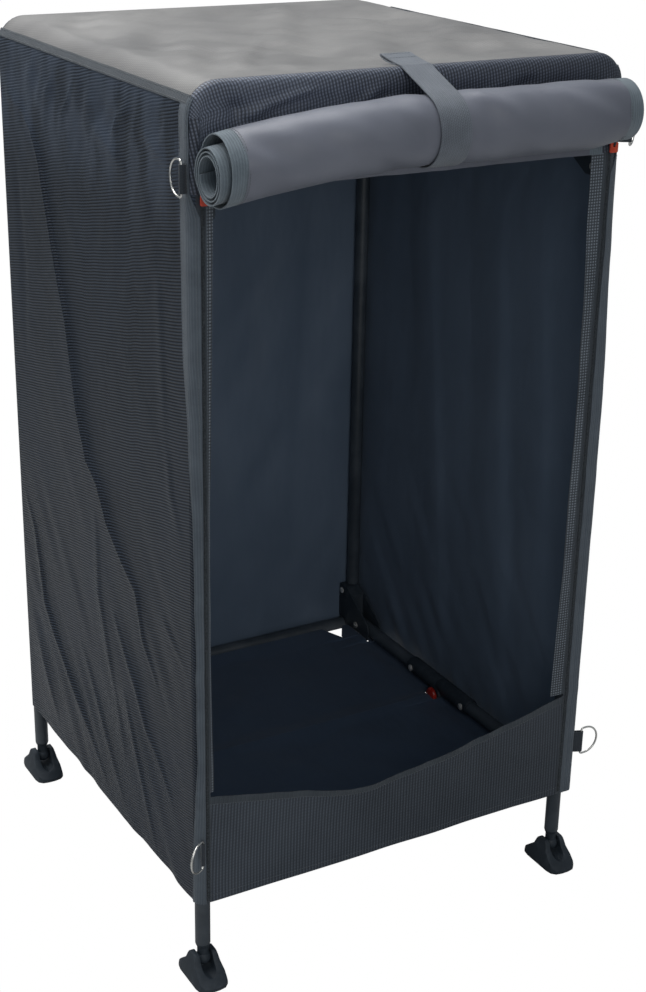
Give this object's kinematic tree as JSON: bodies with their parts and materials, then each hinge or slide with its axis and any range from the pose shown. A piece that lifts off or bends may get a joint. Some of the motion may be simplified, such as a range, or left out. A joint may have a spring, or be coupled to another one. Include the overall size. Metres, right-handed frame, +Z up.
{
  "type": "folding camping cupboard",
  "caption": "Tall folding fabric cupboard on a tubular frame, with an open front, a door rolled up under a strap, swivel feet, D-rings and a low front panel.",
  "frame": {"origin": "on the ground, under the middle of the whole cupboard's box with its rolled door, rings and feet", "axes": "+Z up, the open front faces -Y, +X to the right for someone facing the open front"},
  "size_m": [0.62, 0.6744, 1.1067],
  "materials": {
    "coated_tube": "dark grey powder coat, satin",
    "black_plastic": "black moulded nylon, matt",
    "textured_cloth": "ribbed coated polyester, dark grey",
    "door_cloth": "smooth coated polyester, slate grey",
    "lining_cloth": "smooth coated polyester, dark slate",
    "webbing": "ribbed polyester webbing, grey",
    "edge_trim": "woven binding and zip tape, grey",
    "plated_steel": "nickel plated wire, bright",
    "red_button": "red moulded plastic, satin",
    "red_pull": "orange red moulded plastic, matt"
  },
  "bodies": {
    "rear_frame": {"rear_leg_left": "coated_tube", "rear_leg_right": "coated_tube", "rear_top_bar": "coated_tube", "rear_bottom_bar": "coated_tube", "rear_lower_bracket_left": "black_plastic", "rear_lower_bracket_right": "black_plastic", "rear_upper_bracket_left": "black_plastic", "rear_upper_bracket_right": "black_plastic", "rear_wall": "lining_cloth", "left_wall": "textured_cloth", "right_wall": "textured_cloth", "roof": "textured_cloth"},
    "front_frame": {"front_leg_left": "coated_tube", "front_leg_right": "coated_tube", "front_top_bar": "coated_tube", "front_bottom_bar": "coated_tube", "front_lower_bracket_left": "black_plastic", "front_lower_bracket_right": "black_plastic", "front_upper_bracket_left": "black_plastic", "front_upper_bracket_right": "black_plastic", "header": "textured_cloth", "front_skirt": "textured_cloth", "front_edge_left": "edge_trim", "front_edge_right": "edge_trim", "rolled_door": "door_cloth", "roll_strap": "webbing"},
    "lower_rear_rails": {"lower_rear_rail_left": "coated_tube", "lower_rear_rail_right": "coated_tube", "lower_rear_hub_left": "black_plastic", "lower_rear_hub_right": "black_plastic", "rear_floor": "lining_cloth"},
    "lower_front_rails": {"lower_front_rail_left": "coated_tube", "lower_front_rail_right": "coated_tube", "lower_front_hub_left": "black_plastic", "lower_front_hub_right": "black_plastic", "front_floor": "lining_cloth"},
    "upper_rear_rails": {"upper_rear_rail_left": "coated_tube", "upper_rear_rail_right": "coated_tube", "upper_rear_hub_left": "black_plastic", "upper_rear_hub_right": "black_plastic"},
    "upper_front_rails": {"upper_front_rail_left": "coated_tube", "upper_front_rail_right": "coated_tube", "upper_front_hub_left": "black_plastic", "upper_front_hub_right": "black_plastic"},
    "lower_button_left": {"lower_release_button_left": "red_button"},
    "lower_button_right": {"lower_release_button_right": "red_button"},
    "upper_button_left": {"upper_release_button_left": "red_button"},
    "upper_button_right": {"upper_release_button_right": "red_button"},
    "rear_pad_left": {"rear_foot_left": "black_plastic"},
    "rear_pad_right": {"rear_foot_right": "black_plastic"},
    "front_pad_left": {"front_foot_left": "black_plastic"},
    "front_pad_right": {"front_foot_right": "black_plastic"},
    "lower_ring_left": {"lower_d_ring_left": "plated_steel"},
    "lower_ring_right": {"lower_d_ring_right": "plated_steel"},
    "upper_ring_left": {"upper_d_ring_left": "plated_steel"},
    "upper_ring_right": {"upper_d_ring_right": "plated_steel"},
    "slider_left": {"zip_slider_left": "black_plastic"},
    "pull_left": {"zip_pull_left": "red_pull"},
    "slider_right": {"zip_slider_right": "black_plastic"},
    "pull_right": {"zip_pull_right": "red_pull"}
  },
  "joints": [
    {"name": "frame_fold", "type": "hinge", "parent": "rear_frame", "child": "lower_rear_rails", "pos_m": [-0.0129, 0.25572, 0.143], "axis": [-1, 0, 0], "range_deg": [0, 80], "deforming": ["left_wall", "right_wall", "roof"]},
    {"name": "lower_middle_fold", "type": "hinge", "parent": "lower_rear_rails", "child": "lower_front_rails", "pos_m": [-0.0129, 0.02573, 0.131], "axis": [1, 0, 0], "range_deg": [0, 160]},
    {"name": "front_frame_fold", "type": "hinge", "parent": "lower_front_rails", "child": "front_frame", "pos_m": [-0.0129, -0.20428, 0.143], "axis": [-1, 0, 0], "range_deg": [0, 80]},
    {"name": "upper_rear_fold", "type": "hinge", "parent": "rear_frame", "child": "upper_rear_rails", "pos_m": [-0.0129, 0.25572, 1.01], "axis": [1, 0, 0], "range_deg": [0, 80]},
    {"name": "upper_middle_fold", "type": "hinge", "parent": "upper_rear_rails", "child": "upper_front_rails", "pos_m": [-0.0129, 0.02573, 1.022], "axis": [-1, 0, 0], "range_deg": [0, 160]},
    {"name": "lower_left_button_press", "type": "slide", "parent": "lower_rear_rails", "child": "lower_button_left", "axis": [-1, 0, 0], "range_m": [0, 0.003], "stiffness_N_per_m": 300, "springref_m": -0.002},
    {"name": "lower_right_button_press", "type": "slide", "parent": "lower_rear_rails", "child": "lower_button_right", "axis": [1, 0, 0], "range_m": [0, 0.003], "stiffness_N_per_m": 300, "springref_m": -0.002},
    {"name": "upper_left_button_press", "type": "slide", "parent": "upper_rear_rails", "child": "upper_button_left", "axis": [-1, 0, 0], "range_m": [0, 0.003], "stiffness_N_per_m": 300, "springref_m": -0.002},
    {"name": "upper_right_button_press", "type": "slide", "parent": "upper_rear_rails", "child": "upper_button_right", "axis": [1, 0, 0], "range_m": [0, 0.003], "stiffness_N_per_m": 300, "springref_m": -0.002},
    {"name": "rear_left_foot_tilt", "type": "hinge", "parent": "rear_frame", "child": "rear_pad_left", "pos_m": [-0.2794, 0.29923, 0.028], "axis": [1, 0, 0], "range_deg": [-20, 20]},
    {"name": "rear_right_foot_tilt", "type": "hinge", "parent": "rear_frame", "child": "rear_pad_right", "pos_m": [0.2536, 0.29923, 0.028], "axis": [1, 0, 0], "range_deg": [-20, 20]},
    {"name": "front_left_foot_tilt", "type": "hinge", "parent": "front_frame", "child": "front_pad_left", "pos_m": [-0.2794, -0.24777, 0.028], "axis": [1, 0, 0], "range_deg": [-20, 20]},
    {"name": "front_right_foot_tilt", "type": "hinge", "parent": "front_frame", "child": "front_pad_right", "pos_m": [0.2536, -0.24777, 0.028], "axis": [1, 0, 0], "range_deg": [-20, 20]},
    {"name": "lower_left_ring_swing", "type": "hinge", "parent": "front_frame", "child": "lower_ring_left", "pos_m": [-0.28663, -0.26567, 0.19], "axis": [0, 0, 1], "range_deg": [-60, 30]},
    {"name": "lower_right_ring_swing", "type": "hinge", "parent": "front_frame", "child": "lower_ring_right", "pos_m": [0.28214, -0.25989, 0.187], "axis": [0, 0, -1], "range_deg": [-80, 60]},
    {"name": "upper_left_ring_swing", "type": "hinge", "parent": "front_frame", "child": "upper_ring_left", "pos_m": [-0.29663, -0.25081, 1.001], "axis": [0, 0, 1], "range_deg": [0, 130]},
    {"name": "upper_right_ring_swing", "type": "hinge", "parent": "front_frame", "child": "upper_ring_right", "pos_m": [0.27937, -0.25872, 1.01], "axis": [0, 0, -1], "range_deg": [-40, 75]},
    {"name": "zip_run_left", "type": "slide", "parent": "front_frame", "child": "slider_left", "axis": [0, 0, -1], "range_m": [0, 0.861]},
    {"name": "pull_left_swing", "type": "hinge", "parent": "slider_left", "child": "pull_left", "pos_m": [-0.2766, -0.26567, 0.9849], "axis": [-1, 0, 0], "range_deg": [0, 85]},
    {"name": "zip_run_right", "type": "slide", "parent": "front_frame", "child": "slider_right", "axis": [0, 0, -1], "range_m": [0, 0.873]},
    {"name": "pull_right_swing", "type": "hinge", "parent": "slider_right", "child": "pull_right", "pos_m": [0.2508, -0.26567, 0.9964], "axis": [-1, 0, 0], "range_deg": [0, 85]}
  ],
  "couplings": [
    {"joint": "lower_middle_fold", "follows": "frame_fold", "ratio": 2},
    {"joint": "front_frame_fold", "follows": "frame_fold", "ratio": 1},
    {"joint": "upper_rear_fold", "follows": "frame_fold", "ratio": 1},
    {"joint": "upper_middle_fold", "follows": "frame_fold", "ratio": 2}
  ]
}
